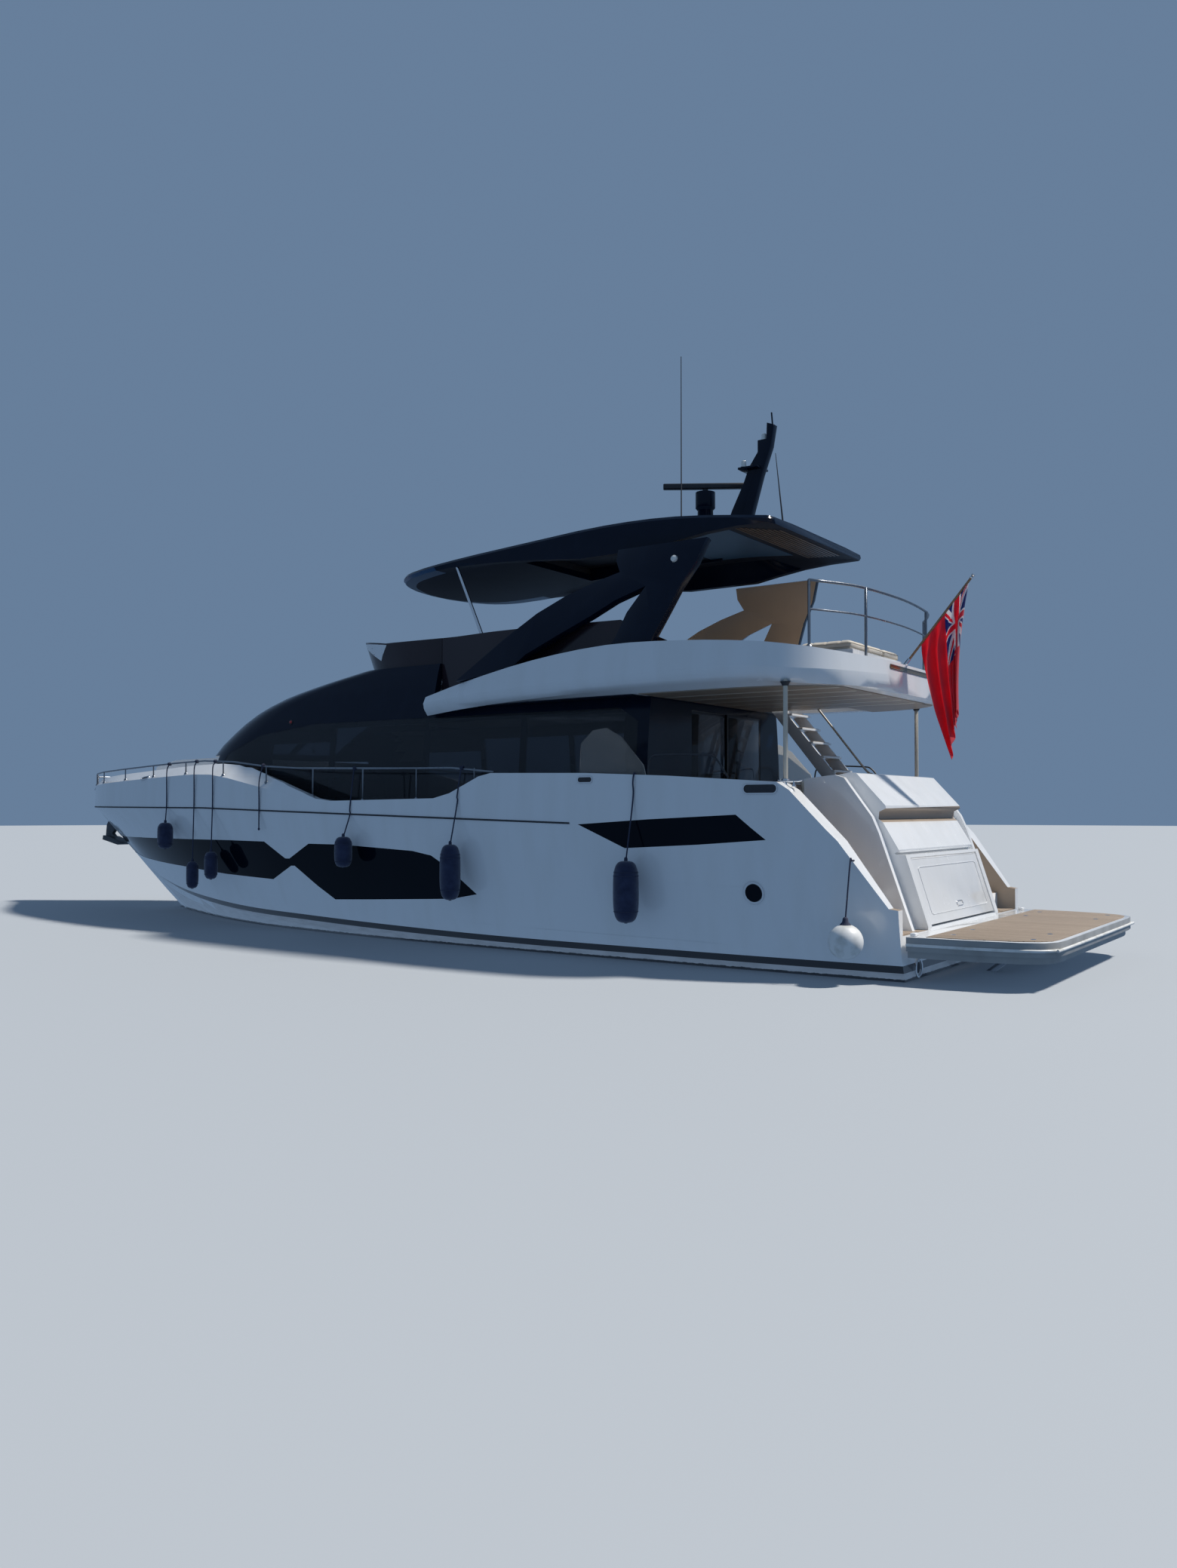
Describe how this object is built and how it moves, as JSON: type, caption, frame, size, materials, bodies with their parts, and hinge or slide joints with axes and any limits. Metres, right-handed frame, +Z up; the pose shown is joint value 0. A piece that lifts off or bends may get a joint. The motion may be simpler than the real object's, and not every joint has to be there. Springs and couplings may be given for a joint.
{
  "type": "flybridge motor yacht",
  "caption": "Planing motor yacht with flybridge and hardtop, dark hull windows, stern platform on lifting arms, steering rudders and turning propellers.",
  "frame": {"origin": "on the waterline at the middle of the boat's length and beam", "axes": "+X to the bow, +Y to port, +Z up; the water surface is the plane z = 0"},
  "size_m": [23.29, 6.3019, 10.8706],
  "materials": {
    "gelcoat": "gloss white moulded topsides over dark bottom paint",
    "hull_glass": "gloss black hull glazing",
    "black_paint": "gloss black paint",
    "dark_glass": "dark tinted glass",
    "clear_glass": "clear glass",
    "tinted_panel": "dark smoked acrylic",
    "steel": "polished stainless steel",
    "black_plastic": "satin black",
    "bronze": "cast bronze under the water",
    "cushion": "cream woven upholstery",
    "teak": "teak",
    "cabinet": "satin walnut",
    "ensign_cloth": "woven bunting",
    "fender_cover": "navy knitted cover",
    "white_rubber": "white vinyl"
  },
  "bodies": {
    "boat": {"hull": "gelcoat", "hull_glass_port": "hull_glass", "hull_glass_starboard": "hull_glass", "quarter_glass_port": "hull_glass", "quarter_glass_starboard": "hull_glass", "deckhouse": "black_paint", "windscreen": "dark_glass", "side_glass_port": "dark_glass", "side_glass_starboard": "dark_glass", "flybridge": "gelcoat", "wind_deflector": "tinted_panel", "arch_port": "black_paint", "arch_starboard": "black_paint", "hardtop": "black_paint", "saloon_fixed_pane": "dark_glass", "mast": "black_paint", "whip": "black_plastic", "hardtop_strut_port": "steel", "hardtop_strut_starboard": "steel", "bow_rail": "steel", "anchor": "steel", "overhang_post_port": "steel", "overhang_post_starboard": "steel", "wing_glass_port": "clear_glass", "wing_glass_starboard": "clear_glass", "fly_rail": "steel", "fly_stair": "gelcoat", "shaft_port": "bronze", "shaft_starboard": "bronze", "fore_sunpad": "cushion", "cockpit_sofa": "cushion", "cockpit_table": "teak", "fly_console": "black_paint", "fly_helm_seat": "cushion", "fly_sofa": "cushion", "fly_wet_bar": "gelcoat", "fly_sunbed": "cushion", "lower_helm": "black_plastic", "saloon_sofa": "cushion", "galley_unit": "cabinet", "ensign_staff": "teak", "ensign": "ensign_cloth", "fender_1": "fender_cover", "fender_2": "fender_cover", "fender_3": "fender_cover", "fender_4": "fender_cover", "fender_5": "fender_cover", "fender_6": "fender_cover", "ball_fender": "white_rubber"},
    "saloon_door": {"saloon_door": "dark_glass"},
    "sunroof": {"sunroof": "dark_glass"},
    "radar_scanner": {"radar_scanner": "black_plastic"},
    "garage_door": {"garage_door": "gelcoat"},
    "platform_arms": {"platform_arms": "steel"},
    "bathing_platform": {"bathing_platform": "gelcoat"},
    "propeller_port": {"propeller_port": "bronze"},
    "propeller_starboard": {"propeller_starboard": "bronze"},
    "rudder_port": {"rudder_port": "bronze"},
    "rudder_starboard": {"rudder_starboard": "bronze"},
    "foredeck_hatch": {"foredeck_hatch": "dark_glass"}
  },
  "joints": [
    {"name": "saloon_door_slide", "type": "slide", "parent": "boat", "child": "saloon_door", "axis": [0, -1, 0], "range_m": [0, 1.1]},
    {"name": "sunroof_slide", "type": "slide", "parent": "boat", "child": "sunroof", "axis": [-1, 0, 0], "range_m": [0, 0.9]},
    {"name": "radar_turn", "type": "hinge", "parent": "boat", "child": "radar_scanner", "pos_m": [-5.5, 0, 7.6], "axis": [0, 0, 1], "continuous": true},
    {"name": "garage_door_lift", "type": "hinge", "parent": "boat", "child": "garage_door", "pos_m": [-9.49, 0, 1.5327], "axis": [0, 1, 0], "range_deg": [0, 95]},
    {"name": "platform_lower", "type": "hinge", "parent": "boat", "child": "platform_arms", "pos_m": [-9.86, 0, -0.4], "axis": [0, -1, 0], "range_deg": [0, 38]},
    {"name": "platform_level", "type": "hinge", "parent": "platform_arms", "child": "bathing_platform", "pos_m": [-10.685, 0, 0.25], "axis": [0, -1, 0], "range_deg": [-38, 0]},
    {"name": "propeller_port_turn", "type": "hinge", "parent": "boat", "child": "propeller_port", "pos_m": [-8.3, 1, -1.13], "axis": [-0.9903, 0, -0.1392], "continuous": true},
    {"name": "propeller_starboard_turn", "type": "hinge", "parent": "boat", "child": "propeller_starboard", "pos_m": [-8.3, -1, -1.13], "axis": [-0.9903, 0, -0.1392], "continuous": true},
    {"name": "rudder_port_steer", "type": "hinge", "parent": "boat", "child": "rudder_port", "pos_m": [-9.03, 1, -1], "axis": [0, 0, 1], "range_deg": [-35, 35]},
    {"name": "rudder_starboard_steer", "type": "hinge", "parent": "boat", "child": "rudder_starboard", "pos_m": [-9.03, -1, -1], "axis": [0, 0, 1], "range_deg": [-35, 35]},
    {"name": "foredeck_hatch_lift", "type": "hinge", "parent": "boat", "child": "foredeck_hatch", "pos_m": [9.7, 0, 2.3427], "axis": [0, 1, 0], "range_deg": [0, 75]}
  ],
  "couplings": [
    {"joint": "platform_level", "follows": "platform_lower", "ratio": -1},
    {"joint": "rudder_starboard_steer", "follows": "rudder_port_steer", "ratio": 1}
  ]
}
